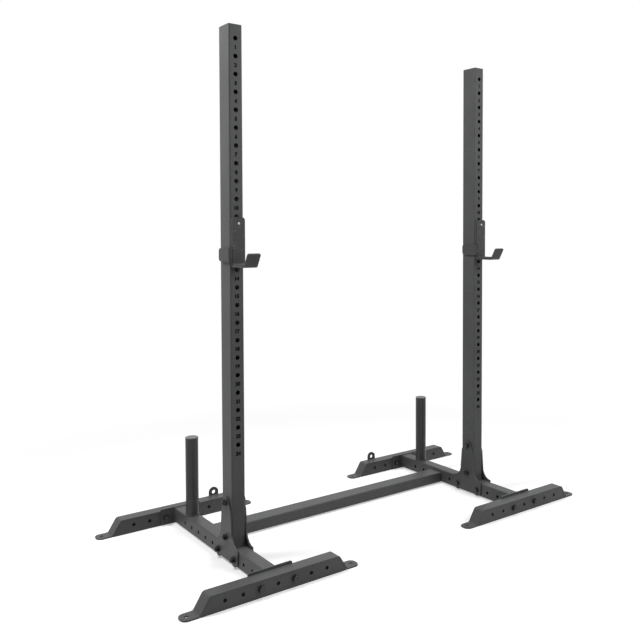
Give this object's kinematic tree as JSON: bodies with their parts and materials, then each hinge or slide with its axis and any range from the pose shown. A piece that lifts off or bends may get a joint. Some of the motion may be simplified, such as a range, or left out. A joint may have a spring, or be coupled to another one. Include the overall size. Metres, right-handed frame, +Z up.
{
  "type": "squat stand",
  "caption": "Free-standing squat stand: drilled box-section uprights on base rails with cross tube, tabbed feet, hung bar cups and plate storage posts.",
  "frame": {"origin": "on the floor, in the middle of the footprint's bounding box", "axes": "+X from the left upright to the right upright, +Y to the rear, where the storage posts stand, +Z up"},
  "size_m": [1.774, 0.8468, 1.84],
  "materials": {
    "powder_coat": "satin charcoal powder coat",
    "cup_coat": "satin black powder coat",
    "black_zinc": "black zinc fasteners",
    "bright_zinc": "bright zinc screw",
    "liner": "fine matt hard plastic",
    "cap_plastic": "matt black plug",
    "store_cap": "light grey plug"
  },
  "bodies": {
    "stand": {"left_upright": "powder_coat", "right_upright": "powder_coat", "left_upright_cap": "cap_plastic", "right_upright_cap": "cap_plastic", "left_rail": "powder_coat", "right_rail": "powder_coat", "left_gusset_minus_x": "powder_coat", "left_gusset_plus_x": "powder_coat", "right_gusset_minus_x": "powder_coat", "right_gusset_plus_x": "powder_coat", "left_gusset_bolt_1": "black_zinc", "left_gusset_bolt_2": "black_zinc", "left_gusset_bolt_3": "black_zinc", "left_gusset_bolt_4": "black_zinc", "right_gusset_bolt_1": "black_zinc", "right_gusset_bolt_2": "black_zinc", "right_gusset_bolt_3": "black_zinc", "right_gusset_bolt_4": "black_zinc", "left_front_rail_plate": "powder_coat", "left_rear_rail_plate": "powder_coat", "right_front_rail_plate": "powder_coat", "right_rear_rail_plate": "powder_coat", "left_front_foot": "powder_coat", "left_rear_foot": "powder_coat", "right_front_foot": "powder_coat", "right_rear_foot": "powder_coat", "left_front_foot_bolt_1": "black_zinc", "left_front_foot_bolt_2": "black_zinc", "left_rear_foot_bolt_1": "black_zinc", "left_rear_foot_bolt_2": "black_zinc", "right_front_foot_bolt_1": "black_zinc", "right_front_foot_bolt_2": "black_zinc", "right_rear_foot_bolt_1": "black_zinc", "right_rear_foot_bolt_2": "black_zinc", "left_rear_eye_plate": "powder_coat", "right_rear_eye_plate": "powder_coat", "left_store_post": "powder_coat", "right_store_post": "powder_coat", "left_store_cap": "store_cap", "right_store_cap": "store_cap", "cross_tube": "powder_coat", "left_cross_flange": "powder_coat", "right_cross_flange": "powder_coat", "left_cross_bolt_1": "black_zinc", "left_cross_bolt_2": "black_zinc", "right_cross_bolt_1": "black_zinc", "right_cross_bolt_2": "black_zinc"},
    "left_peg": {"left_cup_peg": "black_zinc"},
    "left_cup": {"left_cup_bracket": "cup_coat", "left_cup_liner": "liner", "left_cup_pad": "liner", "left_cup_screw": "bright_zinc"},
    "right_peg": {"right_cup_peg": "black_zinc"},
    "right_cup": {"right_cup_bracket": "cup_coat", "right_cup_liner": "liner", "right_cup_pad": "liner", "right_cup_screw": "bright_zinc"}
  },
  "joints": [
    {"name": "left_cup_height", "type": "slide", "parent": "stand", "child": "left_peg", "axis": [0, 0, 1], "range_m": [-0.54, 0.54]},
    {"name": "left_cup_swing", "type": "hinge", "parent": "left_peg", "child": "left_cup", "pos_m": [-0.57, -0.1045, 1.133], "axis": [0, 1, 0], "range_deg": [0, 90]},
    {"name": "right_cup_height", "type": "slide", "parent": "stand", "child": "right_peg", "axis": [0, 0, 1], "range_m": [-0.54, 0.54]},
    {"name": "right_cup_swing", "type": "hinge", "parent": "right_peg", "child": "right_cup", "pos_m": [0.57, -0.1045, 1.133], "axis": [0, 1, 0], "range_deg": [0, 90]}
  ]
}
